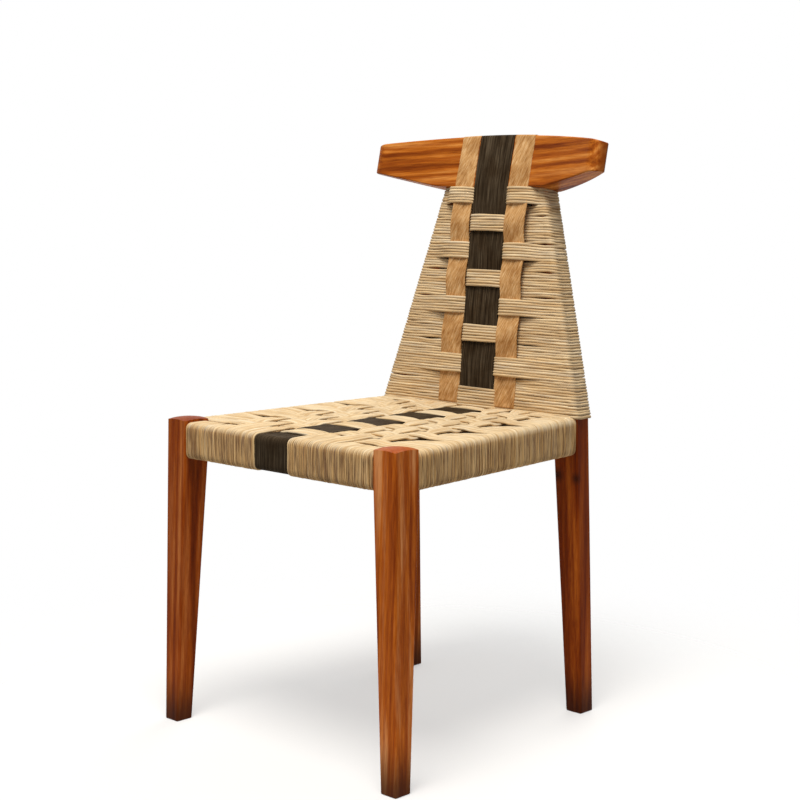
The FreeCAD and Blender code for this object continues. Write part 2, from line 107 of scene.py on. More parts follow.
def hardwood(name, heart, grain_turn, tones=plain_tones, bend=0.0, knots=()):
    """Varnished hardwood whose growth rings go round a line through heart, turned as the grain is.

    Bend makes the grain follow a piece that curves forward by bend times the square of x.
    """
    material, tree = new_material(name)
    coordinates = add_node(tree, "ShaderNodeTexCoord", {}).outputs
    place = coordinates["Object"]
    axes = add_node(tree, "ShaderNodeSeparateXYZ", {"Vector": place}).outputs
    square = add_node(tree, "ShaderNodeMath", {0: axes["X"], 1: axes["X"]}, operation="MULTIPLY").outputs[0]
    unbent = add_node(tree, "ShaderNodeMath", {0: square, 1: bend, 2: axes["Y"]},
                      operation="MULTIPLY_ADD").outputs[0]
    straight = add_node(tree, "ShaderNodeCombineXYZ", {"X": axes["X"], "Y": unbent, "Z": axes["Z"]})
    grain = add_node(tree, "ShaderNodeMapping",
                     {"Vector": straight.outputs["Vector"], "Location": heart, "Rotation": grain_turn,
                      "Scale": (1, 1, grain_stretch)}, vector_type="TEXTURE").outputs["Vector"]
    streaks = add_node(tree, "ShaderNodeTexNoise",
                       {"Vector": grain, "Scale": 1000 / streak_width, "Detail": 5.0, "Roughness": 0.6})
    # A wave texture of scale 1 makes 20 radians to the metre.
    rings = add_node(tree, "ShaderNodeTexWave",
                     {"Vector": grain, "Scale": 1000 * math.tau / (20 * ring_spacing), "Distortion": 7.0,
                      "Detail": 3.0, "Detail Scale": 0.5, "Detail Roughness": 0.6},
                     wave_type="RINGS", rings_direction="Z")
    pores = add_node(tree, "ShaderNodeTexNoise",
                     {"Vector": grain, "Scale": 1000 / pore_width, "Detail": 2.0, "Roughness": 0.6})
    colour = add_node(tree, "ShaderNodeValToRGB", {"Fac": streaks.outputs["Fac"]},
                      [(0.36, tones[0]), (0.50, tones[1]), (0.64, tones[2])]).outputs["Color"]
    for pattern, stops in ((rings, [(0.15, "C09068"), (0.75, "FFFFFF")]),
                           (pores, [(0.36, "B08A68"), (0.56, "FFFFFF")])):
        shade = add_node(tree, "ShaderNodeValToRGB", {"Fac": pattern.outputs["Fac"]}, stops)
        colour = add_node(tree, "ShaderNodeMix",
                          {mix_share: pattern_strength, mix_under: colour, mix_over: shade.outputs["Color"]},
                          data_type="RGBA", blend_type="MULTIPLY").outputs[mix_result]
    along_grain = Euler(grain_turn).to_matrix() @ Vector((0, 0, 1))
    facing = add_node(tree, "ShaderNodeVectorMath", {0: coordinates["Normal"], 1: along_grain},
                      operation="DOT_PRODUCT").outputs["Value"]
    end_on = add_node(tree, "ShaderNodeMath", {0: facing}, operation="ABSOLUTE").outputs[0]
    end_share = add_node(tree, "ShaderNodeMapRange",
                         {"Value": end_on, "From Min": 0.55, "From Max": 0.9, "To Min": 0.0, "To Max": 0.8})
    colour = add_node(tree, "ShaderNodeMix",
                      {mix_share: end_share.outputs["Result"], mix_under: colour, mix_over: linear(tones[0])},
                      data_type="RGBA").outputs[mix_result]
    dark_places = [(axes["Z"], foot_height / 1000)]
    for knot, radius in knots:
        distance = add_node(tree, "ShaderNodeVectorMath", {0: place, 1: knot}, operation="DISTANCE")
        dark_places.append((distance.outputs["Value"], radius))
    for away, reach in dark_places:
        share = add_node(tree, "ShaderNodeMapRange",
                         {"Value": away, "From Min": 0.0, "From Max": reach,
                          "To Min": dark_strength, "To Max": 0.0}, interpolation_type="SMOOTHSTEP")
        colour = add_node(tree, "ShaderNodeMix",
                          {mix_share: share.outputs["Result"], mix_under: colour,
                           mix_over: linear(dark_brown)}, data_type="RGBA").outputs[mix_result]
    dents = add_node(tree, "ShaderNodeBump",
                     {"Height": pores.outputs["Fac"], "Strength": 0.06, "Distance": 0.0004})
    set_inputs(tree, tree.nodes["Principled BSDF"],
               {"Base Color": colour, "Normal": dents.outputs["Normal"], "Roughness": 0.42,
                "Specular IOR Level": 0.04, "Coat Weight": 0.03, "Coat Roughness": 0.2})
    return material


# Turns that lay the grain, which starts out along Z, along a piece.
upright = (0.0, 0.02, 0.0)
across = (0.0, math.radians(87), 0.0)
backwards = (math.radians(-90), 0.0, 0.0)

# Half the crest's length and how far its ends curve forward, in millimetres.
crest_half = 223.0
crest_curve = 42.0
crest_bend = 1000 * crest_curve / crest_half ** 2

# Each piece's heart in metres and the way its grain runs, then its tones, bend and knots with their radii.
wooden_pieces = {
    # All legs are one wood: the front left leg's darker tones are painted shade.
    "front_leg_left": ((-0.27, -0.20, 0.3), upright, ("7A3204", "A85010", "C8763A")),
    # The front right leg's lighter tones are painted light.
    "front_leg_right": ((0.20, -0.27, 0.3), upright, ("98440E", "CC6C1E", "EAA064")),
    "rear_leg_left": ((-0.13, 0.16, 0.2), upright),
    # The rear right leg's darker tones are painted shade; its knots are the wood's own.
    "rear_leg_right": ((0.23, 0.15, 0.2), upright, ("702A02", "92400A", "B8601A"), 0.0,
                       [((0.196, 0.169, 0.367), 0.014), ((0.160, 0.169, 0.369), 0.016)]),
    "crest_rail": ((0.05, 0.32, 0.68), across, ("7E3A0C", "BC6A20", "E29A4E"), crest_bend),
    "front_seat_rail": ((0.0, -0.20, 0.40), across),
    "rear_seat_rail": ((0.0, 0.20, 0.40), across),
    "lower_back_rail": ((0.0, 0.20, 0.45), across),
    "side_seat_rail_left": ((-0.20, 0.0, 0.40), backwards),
    "side_seat_rail_right": ((0.20, 0.0, 0.40), backwards),
    "front_rail_dowels": ((0.0, -0.24, 0.40), across),
    "rear_rail_dowels": ((0.0, 0.18, 0.40), across),
    "side_rail_dowels_left": ((-0.22, 0.0, 0.40), backwards),
    "side_rail_dowels_right": ((0.22, 0.0, 0.40), backwards),
    "crest_dowels": ((0.0, 0.21, 0.80), upright),
    "lower_back_rail_dowels": ((0.0, 0.18, 0.45), across),
}
for node_name, look in wooden_pieces.items():
    wood = hardwood("varnished hardwood of " + node_name, *look)
    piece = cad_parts[node_name]
    piece.data.materials.clear()
    piece.data.materials.append(wood)


# Long cords of the seat: twisted straw-coloured fibre cord, wound in close turns round the front and rear
# rails, eleven cords to a column. Each column goes over two cross rows and under one. From here on, sizes
# are in millimetres: across, back from the front rail's face, and up from the floor.

front_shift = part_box("seat_black_strip")[0].y
chance = random.Random(11)
bend_near = 0.7
bend_far = 2.2
thinnest = 0.84
thickest = 1.08


def chair_point(x, y, z):
    """Point in metres from millimetres across, back from the front rail's face and up from the floor."""
    return Vector((x / 1000, y / 1000 + front_shift, z / 1000))


def rounded(corners):
    """Control points of a closed line, given as points and the bend wanted at each.

    A bend gets a near and a far control point on both of its sides, at these multiples of its size.
    """
    controls = []
    for index, (here, bend) in enumerate(corners):
        if not bend:
            controls.append(here)
            continue
        before = corners[index - 1][0]
        after = corners[(index + 1) % len(corners)][0]
        for other, reaches in ((before, (bend_far, bend_near)), (after, (bend_near, bend_far))):
            controls += [here + (other - here).normalized() * bend * reach for reach in reaches]
    return controls


def wound_cords(name, loops, thickness):
    """Curve piece with one smooth closed cord, a little uneven, for each loop of points in metres."""
    curve = bpy.data.curves.new(name, "CURVE")
    curve.dimensions = "3D"
    curve.bevel_depth = thickness / 2 / 1000
    curve.bevel_resolution = 1
    curve.resolution_u = 3
    for loop in loops:
        spline = curve.splines.new("NURBS")
        spline.points.add(len(loop) - 1)
        for control, point in zip(spline.points, loop):
            control.co = (*point, 1.0)
            control.radius = chance.uniform(thinnest, thickest)
        spline.order_u = 3
        spline.use_cyclic_u = True
    piece = bpy.data.objects.new(name, curve)
    bpy.context.scene.collection.objects.link(piece)
    return piece


# Twisted plant-fibre cord, dry and unvarnished. The eye gets a dull surface, a tone for each cord and
# brown lines between golden strands. Above the seat rails the lines thin out, so the seat's top and the
# back are paler: partly wear that rubs them off, partly painted light. The full lines on the rails are
# painted shade as well as strands. Real strands are about half as wide, and are drawn this coarse so
# that they show.
cord_tone_width = 4.5
strand_width = 1.6
run_stretch = 30
line_strength = 0.8
# Strand lines thin out between these heights: wear and painted light above, painted shade below.
worn_and_lit_from = 448.0
worn_and_lit_above = 455.0


def straw_cord(name, run, wear_and_painted_light):
    """Straw-coloured cord; run says how far its tones and strands stretch each way.

    Wear is the share of the lines between strands taken off the seat's top and the back: partly rubbed
    off by use, partly painted light, while the full lines left on the rails are partly painted shade.
    """
    material, tree = new_material(name)
    place = add_node(tree, "ShaderNodeTexCoord", {}).outputs["Object"]
    along = add_node(tree, "ShaderNodeMapping", {"Vector": place, "Scale": run},
                     vector_type="TEXTURE").outputs["Vector"]
    tones = add_node(tree, "ShaderNodeTexNoise",
                     {"Vector": along, "Scale": 1000 / cord_tone_width, "Detail": 2.0, "Roughness": 0.7})
    strands = add_node(tree, "ShaderNodeTexNoise",
                       {"Vector": along, "Scale": 1000 / strand_width, "Detail": 3.0, "Roughness": 0.7})
    body = add_node(tree, "ShaderNodeValToRGB", {"Fac": tones.outputs["Fac"]},
                    [(0.30, "CDB085"), (0.50, "E2CEAA"), (0.70, "EEE2C8")])
    strand_shade = add_node(tree, "ShaderNodeValToRGB", {"Fac": strands.outputs["Fac"]},
                            [(0.39, "80501E"), (0.60, "FFE2B2")])
    height = add_node(tree, "ShaderNodeSeparateXYZ", {"Vector": place}).outputs["Z"]
    # Painted shade and light: full strand lines darken the rails, fewer lighten the seat's top and back.
    strand_lines_and_painted_shade = add_node(tree, "ShaderNodeMapRange",
                          {"Value": height, "From Min": worn_and_lit_from / 1000, "From Max": worn_and_lit_above / 1000,
                           "To Min": line_strength, "To Max": line_strength * (1 - wear_and_painted_light)})
    straw = add_node(tree, "ShaderNodeMix",
                     {mix_share: strand_lines_and_painted_shade.outputs["Result"], mix_under: body.outputs["Color"],
                      mix_over: strand_shade.outputs["Color"]}, data_type="RGBA", blend_type="MULTIPLY")
    ridges = add_node(tree, "ShaderNodeBump",
                      {"Height": strands.outputs["Fac"], "Strength": 0.35, "Distance": 0.0005})
    set_inputs(tree, tree.nodes["Principled BSDF"],
               {"Base Color": straw.outputs[mix_result], "Normal": ridges.outputs["Normal"],
                "Roughness": 0.8, "Specular IOR Level": 0.05, "IOR": 1.45})
    return material


row_count = 13
first_row_y = 45.0
rows_depth = 378.0
row_pitch = rows_depth / row_count
row_bow = 12.0
bow_half = 215.0
outer_column = 3
margin_edge = 151.4
strip_slot_half = 34.6
column_pitch = (margin_edge - strip_slot_half) / outer_column
leg_inner_x = 195.0

# Heights of the cords' middles above the floor, and how far the seat's rear corners stand above its front.
seat_low = 454.8
seat_high = 456.6
seat_dip = 452.6
cross_dip = 447.0
seat_under = 404.0
rear_lift = 5.0
lift_half = 200.0
lift_middle = 0.4

loop_front_y = 1.5
loop_back_y = 452.3
rail_bend = 7.0
dive = 8.0
dive_slant = 22.0
strip_drift = 9.6
drift_depth = 110.0


def long_goes_over(column, row):
    """Whether a long column lies over a cross row; the black strip is column 0."""
    return (row - column) % 3 != 0


def column_edge(column):
    """Inner edge of a column; the black strip fills the slot on both sides of the middle."""
    if column == 0:
        return 0.0
    return math.copysign(strip_slot_half + (abs(column) - 1) * column_pitch, column)


def squeeze(place, edges, amount, reach):
    """Share of a band's width left near the places where its cords dive and draw together."""
    nearest = min(abs(place - edge) for edge in edges)
    return 1 - amount * math.exp(-(nearest / reach) ** 2)


def rows_share(y):
    """How far back y lies over the cross rows: 0 at the first one's front, 1 at the last one's rear."""
    return (y - first_row_y) / rows_depth


def bow(x, y):
    """How far the cross rows bow back over the middle of the seat; the first and last stay straight."""
    return row_bow * math.sin(math.pi * rows_share(y)) * (1 - min(abs(x) / bow_half, 1) ** 2)


def lift(x, y):
    """How far the seat's rear stands above its front edge, most of all at the corners."""
    across_share = lift_middle + (1 - lift_middle) * min(abs(x) / lift_half, 1) ** 2
    return rear_lift * max(0, rows_share(y)) * across_share


def strip_shift(x, y):
    """Drift of the middle columns to the left on the face of the front rail."""
    return -strip_drift * max(0, 1 - abs(x) / leg_inner_x) * max(0, 1 - y / drift_depth)


def long_line(column, share, slant):
    """Corners of a long cord's loop as (y, z), and the places where it dives.

    Share runs from 0 at the column's inner edge to 1 at its outer edge: the dives slant across it.
    """
    corners = [(Vector((loop_front_y, seat_low)), rail_bend)]
    edges = []
    level = seat_low
    for row in range(row_count + 1):
        over = row < row_count and long_goes_over(column, row)
        wanted = seat_high if over or row == row_count else seat_dip
        edge = first_row_y + row * row_pitch
        edge += bow(column_edge(column) + column_pitch / 2, edge)
        if wanted == level:
            corners.append((Vector((edge, level)), 0))
        elif level == seat_dip:
            rise = edge + slant * (1 - share)
            corners += [(Vector((rise - dive, level)), 0), (Vector((rise, wanted)), 0)]
        else:
            fall = edge - slant * share
            corners += [(Vector((fall, max(level, wanted))), 0), (Vector((fall + dive, wanted)), 0)]
        if row > 0 and seat_dip in (level, wanted):
            edges.append(edge)
        level = wanted
    corners += [(Vector((loop_back_y, seat_high)), rail_bend), (Vector((loop_back_y, seat_under)), rail_bend),
                (Vector((loop_front_y, seat_under)), rail_bend)]
    return corners, edges


cords_in_column = 11
long_cord = 3.6
column_gap = 0.3
column_parting = 0.16
long_squeeze = 0.22
long_squeeze_reach = 22.0
dip_margin = 2.0
side_stray = 0.35
height_stray = 0.25
# Share of strand lines taken off the seat's top: wear and painted light.
seat_wear_and_painted_light = 0.7


def parting(y):
    """Share of a column's width that the partings beside it take, less over the first and last rows."""
    rows_in = (y - first_row_y) / row_pitch
    return column_parting * min(max(min(rows_in, row_count - rows_in), 0), 1)


long_straw = straw_cord("straw cord along the seat", (1, run_stretch, run_stretch), seat_wear_and_painted_light)
for side, side_name in ((-1, "left"), (1, "right")):
    loops = []
    for column in range(1, outer_column + 1):
        middle = column_edge(column) + column_pitch / 2
        for cord in range(cords_in_column):
            corners, edges = long_line(column, cord / (cords_in_column - 1), dive_slant)
            offset = (cord - (cords_in_column - 1) / 2) * (column_pitch - column_gap) / cords_in_column
            loop = []
            for along, level in rounded(corners):
                on_top = level > seat_dip - dip_margin
                width = 1.0
                if on_top:
                    width = squeeze(along, edges, long_squeeze, long_squeeze_reach) - parting(along)
                x = side * (middle + offset * width + chance.uniform(-side_stray, side_stray))
                level += chance.uniform(-height_stray, height_stray)
                if on_top:
                    level += lift(x, along)
                loop.append(chair_point(x + strip_shift(x, along), along, level))
            loops.append(loop)
    piece = wound_cords("long_cords_" + side_name, loops, long_cord)
    piece.data.materials.append(long_straw)
    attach(piece, "root")
    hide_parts("seat_long_cords_" + side_name)


# Cross cords of the seat: the same cord wound round both side rails, nine cords to a row, going over
# one column and under two. They cover the side rails from leg to leg.

side_front_half = 237.0
side_rear_half = 198.5
cords_in_row = 9
cross_cord = 3.5
seat_under_lifted = 407.8
under_slope = 10.0

# Flat runs in from the rails and out from the outer columns, and the hollows in the margins between.
rail_flat = 28.0
margin_flat = 24.0
hollow_depth = 5.0
hollow_width = 66.0
hollow_rows = 1.7
hollows_end_row = 9.5

# How rows draw together where they dive, and spread over the black strip.
cross_squeeze = 0.10
cross_squeeze_reach = 24.0
black_spread = 0.25
black_spread_half = 40.0


def side_face_x(y):
    """Half width of the seat at y, between the front and rear legs' outer faces."""
    return side_front_half + (side_rear_half - side_front_half) * rows_share(y)


def hollow(x, y):
    """How far the margins sink in front of each third row, deepest where the outer column ends."""
    before_row = -(y - first_row_y) / row_pitch % 3
    from_column = max(0, abs(x) - margin_edge)
    if abs(x) < margin_edge - dive or y > first_row_y + hollows_end_row * row_pitch:
        return 0.0
    return hollow_depth * max(0, 1 - from_column / hollow_width - before_row / hollow_rows)


def cross_line(row, y):
    """Corners of a cross cord's loop as (x, z), and the places where it dives."""
    half = side_face_x(y) - loop_front_y
    corners = [(Vector((-half, seat_low)), rail_bend), (Vector((-half + rail_flat, seat_low)), 0),
               (Vector((-margin_edge - margin_flat, seat_low)), 0)]
    edges = [-margin_edge - dive, margin_edge + dive]
    level = seat_low
    for column in range(-outer_column - 1, outer_column + 2):
        beside = column if column >= 0 else -column - 1
        inside = beside <= outer_column and column <= outer_column
        over = inside and not long_goes_over(beside, row)
        wanted = seat_high if over else cross_dip if inside else seat_low
        edge = column_edge(column)
        if wanted > level:
            corners += [(Vector((edge - dive, level)), 0), (Vector((edge, wanted)), 0)]
        elif wanted < level:
            corners += [(Vector((edge, level)), 0), (Vector((edge + dive, wanted)), 0)]
        level = wanted
    under_half = margin_edge - under_slope
    corners += [(Vector((margin_edge + margin_flat, seat_low)), 0), (Vector((half - rail_flat, seat_low)), 0),
                (Vector((half, seat_low)), rail_bend), (Vector((half, seat_under)), rail_bend),
                (Vector((margin_edge, seat_under)), 0), (Vector((under_half, seat_under_lifted)), 0),
                (Vector((-under_half, seat_under_lifted)), 0), (Vector((-margin_edge, seat_under)), 0),
                (Vector((-half, seat_under)), rail_bend)]
    return corners, edges


cross_straw = straw_cord("straw cord across the seat", (run_stretch, 1, run_stretch), seat_wear_and_painted_light)
loops = []
for row in range(row_count):
    middle = first_row_y + (row + 0.5) * row_pitch
    over_black = not long_goes_over(0, row)
    for cord in range(cords_in_row):
        offset = (cord - (cords_in_row - 1) / 2) * row_pitch / cords_in_row
        corners, edges = cross_line(row, middle + offset)
        loop = []
        for along, level in rounded(corners):
            on_top = level > cross_dip - dip_margin
            width = squeeze(along, edges, cross_squeeze, cross_squeeze_reach) if on_top else 1.0
            if over_black:
                width += black_spread * math.exp(-(along / black_spread_half) ** 4)
            y = middle + offset * width + chance.uniform(-side_stray, side_stray)
            if on_top:
                level += lift(along, y) - hollow(along, y)
                y += bow(along, y)
            loop.append(chair_point(along, y, level + chance.uniform(-height_stray, height_stray)))
        loops.append(loop)
piece = wound_cords("cross_cords", loops, cross_cord)
piece.data.materials.append(cross_straw)
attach(piece, "root")
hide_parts("seat_cross_cords")


# Corner turns: short turns of the same cord that cover the front rail between the outer column and
# the leg, and run back under the first cross row.

cords_in_corner = 13
corner_lean = 1.5
corner_stray = 0.4
leg_clearance = 2.0

# The turns' route as (y, z): over the rail's top, back under the first cross row, and round the rail.
corner_route = [(Vector((loop_front_y, seat_low)), rail_bend), (Vector((38, seat_low)), 0),
                (Vector((47, seat_low - 3)), 0), (Vector((60, seat_low - 4)), 0), (Vector((34, 432)), 0),
                (Vector((29, seat_under)), rail_bend), (Vector((loop_front_y, seat_under)), rail_bend)]
loops = []
for side in (-1, 1):
    for cord in range(cords_in_corner):
        middle = margin_edge + (cord + 0.5) * (leg_inner_x - margin_edge) / cords_in_corner
        lean = chance.uniform(-corner_lean, corner_lean) if side > 0 else 0.0
        loop = []
        for along, level in rounded(corner_route):
            down = (seat_low - level) / (seat_low - seat_under)
            x = middle + chance.uniform(-corner_stray, corner_stray) + lean * down
            x = side * min(max(x, margin_edge + leg_clearance), leg_inner_x - leg_clearance)
            level += chance.uniform(-height_stray, height_stray)
            loop.append(chair_point(x + strip_shift(x, along), along, level))
        loops.append(loop)
piece = wound_cords("corner_turns", loops, long_cord)
piece.data.materials.append(long_straw)
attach(piece, "root")
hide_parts("front_corner_turns")


# Black strip of the seat: one flat strip of dyed palm fibre down the middle, woven like a column of
# cords over two rows and under one, and wrapped round the front and rear rails.

# Flat split palm fibre, dyed black or left tan. The eye gets lines along the strip, or leaning across it,
# soft clouds of tone and hardly any shine. Real fibres are finer, and are drawn this coarse so that they
# show.
fibre_width = 1.6
cloud_size = 30.0
cloud_strength = 0.7


def palm_strip(name, tones, slant, stretch):
    """Flat palm fibre strip, its lines stretched along its length and leaning by slant."""
    material, tree = new_material(name)
    place = add_node(tree, "ShaderNodeTexCoord", {}).outputs["Object"]
    along = add_node(tree, "ShaderNodeMapping",
                     {"Vector": place, "Rotation": (0.0, slant, 0.0), "Scale": (1, stretch, stretch)},
                     vector_type="TEXTURE").outputs["Vector"]
    fibres = add_node(tree, "ShaderNodeTexNoise",
                      {"Vector": along, "Scale": 1000 / fibre_width, "Detail": 3.0, "Roughness": 0.65})
    clouds = add_node(tree, "ShaderNodeTexNoise",
                      {"Vector": place, "Scale": 1000 / cloud_size, "Detail": 3.0})
    body = add_node(tree, "ShaderNodeValToRGB", {"Fac": fibres.outputs["Fac"]},
                    [(0.30, tones[0]), (0.50, tones[1]), (0.70, tones[2])])
    cloud_shade = add_node(tree, "ShaderNodeValToRGB", {"Fac": clouds.outputs["Fac"]},
                           [(0.35, "C8B8A4"), (0.60, "FFFFFF")])
    palm = add_node(tree, "ShaderNodeMix",
                    {mix_share: cloud_strength, mix_under: body.outputs["Color"],
                     mix_over: cloud_shade.outputs["Color"]}, data_type="RGBA", blend_type="MULTIPLY")
    ridges = add_node(tree, "ShaderNodeBump",
                      {"Height": fibres.outputs["Fac"], "Strength": 0.3, "Distance": 0.0005})
    set_inputs(tree, tree.nodes["Principled BSDF"],
               {"Base Color": palm.outputs[mix_result], "Normal": ridges.outputs["Normal"],
                "Roughness": 0.65, "Specular IOR Level": 0.02, "IOR": 1.45})
    return material


strip_thickness = 1.6
lines_across = 7
steps_round = 4
sharp_edge = math.radians(40)

# Strips sway from side to side, each in waves of its own, and may be drawn in over this height.
strip_sway = 1.0
sway_length = 25.0
sway_between = 20.0
draw_from = 500.0
draw_over = 360.0


def smooth_line(controls):
    """Points of the closed smooth line that touches the middle of each side of a polygon."""
    points = []
    for before, here, after in zip(controls[-1:] + controls[:-1], controls, controls[1:] + controls[:1]):
        start = (before + here) / 2
        end = (here + after) / 2
        for step in range(steps_round):
            share = step / steps_round
            points.append(start.lerp(here, share).lerp(here.lerp(end, share), share))
    return points


def ribbon(name, left, right, corners_at, draw_in=0.0):
    """Flat closed strip between two x, following corners_at(x) given as (y, z) points with bends.

    Draw_in is how far its left edge has come in by the top of the chair's back.
    """
    lines = []
    for line in range(lines_across):
        x = left + (right - left) * line / (lines_across - 1)
        path = smooth_line(rounded(corners_at(x)))
        lines.append([(x, *point) for point in path + path[:1]])
    steps = len(lines[0]) - 1
    mesh = bmesh.new()
    bmesh.ops.create_grid(mesh, x_segments=lines_across - 1, y_segments=steps, size=1)
    for vertex in mesh.verts:
        line = round((vertex.co.x + 1) / 2 * (lines_across - 1))
        step = round((vertex.co.y + 1) / 2 * steps)
        x, y, z = lines[line][step]
        x += draw_in * (right - x) / (right - left) * min(max((z - draw_from) / draw_over, 0), 1)
        sway = strip_sway * noise.noise(Vector((left / sway_between, y / sway_length, z / sway_length)))
        vertex.co = chair_point(x + sway + strip_shift(x, y), y, z)
    bmesh.ops.remove_doubles(mesh, verts=mesh.verts, dist=0.00001)
    bmesh.ops.recalc_face_normals(mesh, faces=mesh.faces)
    bmesh.ops.solidify(mesh, geom=mesh.faces[:], thickness=strip_thickness / 1000)
    bmesh.ops.recalc_face_normals(mesh, faces=mesh.faces)
    for face in mesh.faces:
        face.smooth = True
    data = bpy.data.meshes.new(name)
    mesh.to_mesh(data)
    mesh.free()
    data.set_sharp_from_angle(angle=sharp_edge)
    piece = bpy.data.objects.new(name, data)
    bpy.context.scene.collection.objects.link(piece)
    return piece


black_stretch = 40
black_palm = palm_strip("black dyed palm strip", ("1C150D", "3C3124", "605342"), 0.0, black_stretch)
seat_black_half = 34.2


def seat_strip_corners(x):
    """Corners of the seat's strip at x, lifted towards the rear as the cords are."""
    corners = []
    for point, bend in long_line(0, 0, 0.0)[0]:
        rise = lift(x, point.x) if point.y > seat_under else 0.0
        corners.append((point + Vector((0, rise)), bend))
    return corners


piece = ribbon("seat_black_ribbon", -seat_black_half, seat_black_half, seat_strip_corners)
piece.data.materials.append(black_palm)
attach(piece, "root")
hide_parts("seat_black_strip")


# Strips of the back: a black strip between two tan ones, flat palm strips looped round the lower back
# rail and over the crest, held by the bands of cord that cross in front of them.

back_lean = math.radians(6.65)
back_origin = Vector((423.35, 463.0))
back_up = Vector((math.sin(back_lean), math.cos(back_lean)))
back_out = Vector((-math.cos(back_lean), math.sin(back_lean)))
post_back_out = -29.6
crest_lean = math.radians(12.6)
crest_origin = Vector((455.0, 800.0))
crest_up = Vector((math.sin(crest_lean), math.cos(crest_lean)))
crest_back = Vector((math.cos(crest_lean), -math.sin(crest_lean)))
crest_height = 82.0
crest_top_rise = 20.4
crest_depth = 50.0
crest_back_half = 231.9
crest_back_curve = 69.2
strip_out = 2.4
strip_skin = 0.3 + strip_thickness / 2
rear_slack = 1.2
lower_bend = 2.0
crest_edge_bend = 3.0
crest_front_hold = 12.0
crest_rear_hold = 6.0
crest_rear_leave = -4.0
held_in = 3.0
black_half = 34.5
tan_inner = 36.3
tan_outer = 78.6
band_height = 26.0
band_pitch = 42.8
lowest_tan_band = (47.0, 76.5)
lowest_black_band = (-5.0, band_height)


def on_back(out, up):
    """Chair (y, z) of a place out from the posts' front faces and up the back."""
    return back_origin + back_out * out + back_up * up


def on_crest(back, up):
    """Chair (y, z) of a place on the leaning crest, from its lower front edge."""
    return crest_origin + crest_back * back + crest_up * up


def arc_drop(x, half_chord, rise):
    """How far an arc over a chord has fallen at x from its middle."""
    radius = (half_chord ** 2 + rise ** 2) / (2 * rise)
    return radius - math.sqrt(radius ** 2 - x ** 2)


def crest_front_y(x):
    """Place of the crest's front face at x, back from its middle: it bends forward to both sides."""
    return -arc_drop(x, crest_half, crest_curve)


def crest_back_y(x):
    """Place of the crest's rear face at x, back from the middle of its front face."""
    return crest_depth - arc_drop(x, crest_back_half, crest_back_curve)


def crest_top_z(x):
    """Height of the crest's top edge at x, up from its lower edge."""
    return crest_height - arc_drop(x, crest_half, crest_top_rise)


def under_crest(out):
    """How far up the back the underside of the crest lies."""
    start = (crest_origin - back_origin).dot(crest_up)
    return (start - out * back_out.dot(crest_up)) / back_up.dot(crest_up)


back_top = under_crest(0)


def bands_at(places):
    """Lower and upper edges of the bands of cord at these places, counted down from the crest."""
    tops = [back_top - place * band_pitch for place in places]
    return [(top - band_height, top) for top in tops]


tan_bands = [lowest_tan_band] + bands_at((4, 2, 0))
black_bands = [lowest_black_band] + bands_at((5, 3, 1))


def strip_front(x, up):
    """Chair (y, z) on a strip's straight line at the front, from the lower back rail to the crest."""
    foot = on_back(strip_out + strip_skin, -strip_skin)
    return foot.lerp(on_crest(crest_front_y(x) - strip_skin, 0), up / back_top)


def strip_back(x, up):
    """Chair (y, z) on a strip's straight line at the rear, from the lower back rail to the crest."""
    foot = on_back(post_back_out - strip_out - strip_skin, -strip_skin)
    return foot.lerp(on_crest(crest_back_y(x) + strip_skin + rear_slack, 0), up / back_top)


def strip_corners(x, bands, swell):
    """Corners of a back strip's loop at x; between the bands of cord that hold it, it swells out."""
    front = crest_front_y(x) - strip_skin
    back = crest_back_y(x) + strip_skin + rear_slack
    top = crest_top_z(x) + strip_skin
    corners = [(strip_front(x, 0), lower_bend)]
    places = sorted(bands)
    for (_, upper), (next_lower, _) in zip(places, places[1:]):
        between = (upper + next_lower) / 2
        for up, out in ((upper - held_in, 0.0), (between, swell), (next_lower + held_in, 0.0)):
            corners.append((strip_front(x, up) + back_out * out, 0))
    corners += [(on_crest(front, 0), 0), (on_crest(front, crest_front_hold), 0),
                (on_crest(front, top), crest_edge_bend), (on_crest(back, top), crest_edge_bend),
                (on_crest(back, crest_rear_hold), 0), (on_crest(back, crest_rear_leave), 0),
                (strip_back(x, 0), lower_bend)]
    return corners


black_swell = 2.5
tan_swell = 6.0
tan_draw_in = 10.0
tan_slant = math.radians(26)
tan_stretch = 9
tan_palm = palm_strip("tan palm strip", ("A4713E", "D2A26A", "E8C596"), tan_slant, tan_stretch)
black_weave = (black_bands, black_swell, black_palm, "black_strip")
tan_weave = (tan_bands, tan_swell, tan_palm, "tan_strip")
for name, left, right, draw_in, (bands, swell, palm, slot) in (
        ("back_black_strip", -black_half, black_half, 0.0, black_weave),
        ("back_tan_strip_left", -tan_outer, -tan_inner, tan_draw_in, tan_weave),
        ("back_tan_strip_right", tan_inner, tan_outer, 0.0, tan_weave)):
    piece = ribbon(name + "_ribbon", left, right, lambda x: strip_corners(x, bands, swell), draw_in)
    piece.data.materials.append(palm)
    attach(piece, "root")
    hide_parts(name)


# Cords of the back: the same straw cord wound round both posts from the seat to the crest. Bands of six
# or seven pass in front of the tan strips or the black one by turns, and the cords between pass behind.

back_cord = 5.2
back_pitch = 4.25
back_low = back_cord / 2
# Share of strand lines taken off the back: wear and painted light.
back_wear_and_painted_light = 0.5
front_tuck = 2.2
rear_tuck = 3.2
post_bend = 5.0
posts_low_z = 460.0
posts_top_z = 800.0
posts_low_width = 397.0
posts_top_width = 196.0

# How a cord runs across: flat over the middle, a little clear of the strips' edges, then in even steps.
middle_flat = 12.0
peak_ease = 1.0
tuck_ease = 2.0
tuck_run = 8.0
fall_share = 0.5
run_step = 14.0

